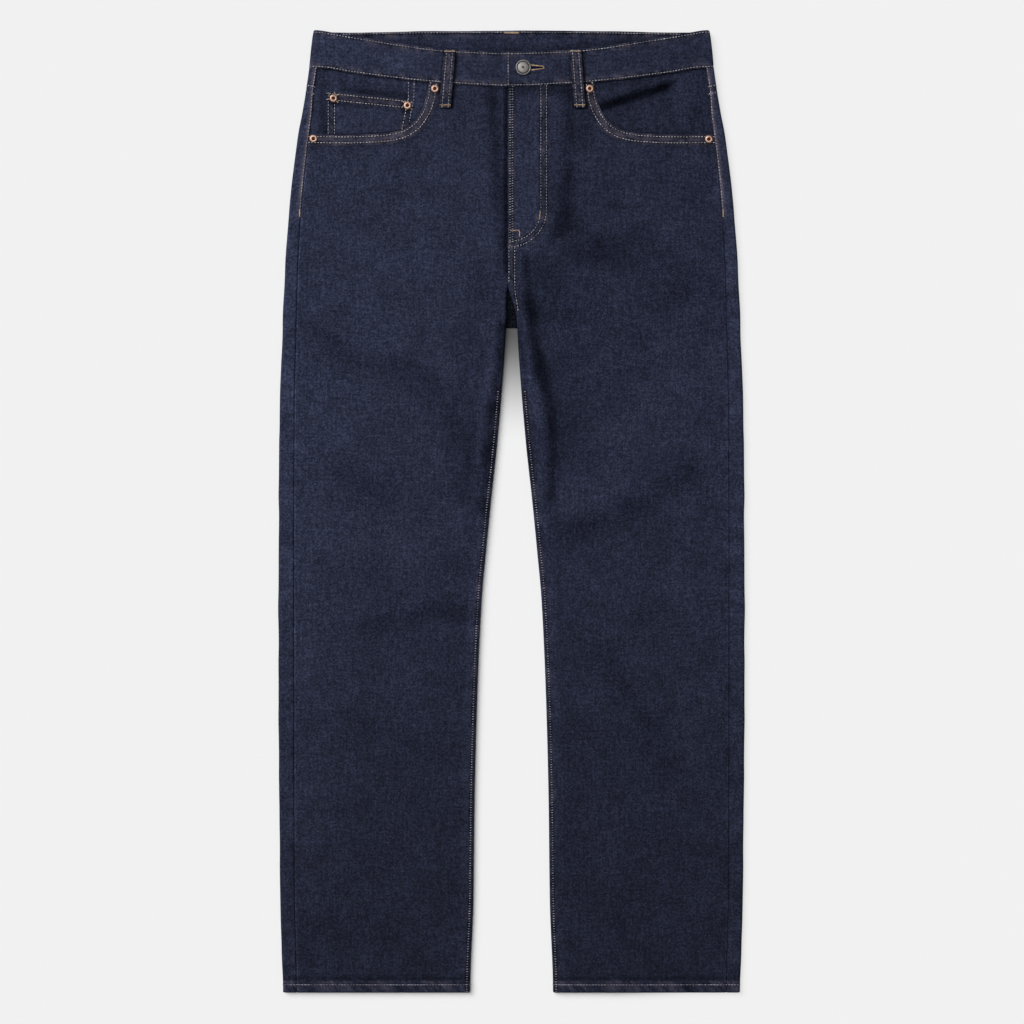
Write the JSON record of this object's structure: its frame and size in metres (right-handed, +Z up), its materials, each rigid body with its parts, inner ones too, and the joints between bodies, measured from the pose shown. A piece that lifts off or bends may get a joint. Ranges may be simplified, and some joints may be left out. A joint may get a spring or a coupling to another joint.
{
  "type": "straight leg jeans",
  "caption": "Straight leg denim jeans laid flat front side up, with scoop hand pockets, coin pocket, belt loops, metal waist button and copper rivets.",
  "frame": {"origin": "under the middle of the laid-out garment, on the surface that it lies on", "axes": "+Y from the hems to the waist, +X to the wearer's left, +Z up out of the front"},
  "size_m": [0.5356, 1.1046, 0.0121],
  "materials": {
    "denim": "dark rinse indigo twill, matt, with pale flecks and tan topstitching",
    "denim_reverse": "paler reverse of the twill, matt",
    "zip_tape": "woven navy tape with a dull metal chain",
    "button_metal": "antique grey, satin, plain rimmed cap",
    "rivet_copper": "satin copper with a dark centre"
  },
  "bodies": {
    "root": {"front_panel_left": "denim", "front_panel_right": "denim", "back_panel_left": "denim", "back_panel_right": "denim", "back_yoke_left": "denim", "back_yoke_right": "denim", "back_pocket_left": "denim", "back_pocket_right": "denim", "pocket_facing_left": "denim", "pocket_facing_right": "denim", "coin_pocket": "denim", "waistband": "denim", "belt_loop_front_left": "denim", "belt_loop_front_right": "denim", "belt_loop_back": "denim", "belt_loop_back_left": "denim", "belt_loop_back_right": "denim", "fly_facing": "denim_reverse", "fly_zip": "zip_tape", "waist_button": "button_metal", "rivet_band_left": "rivet_copper", "rivet_band_right": "rivet_copper", "rivet_side_left": "rivet_copper", "rivet_side_right": "rivet_copper", "rivet_coin_inner": "rivet_copper", "rivet_coin_outer": "rivet_copper"}
  },
  "joints": []
}
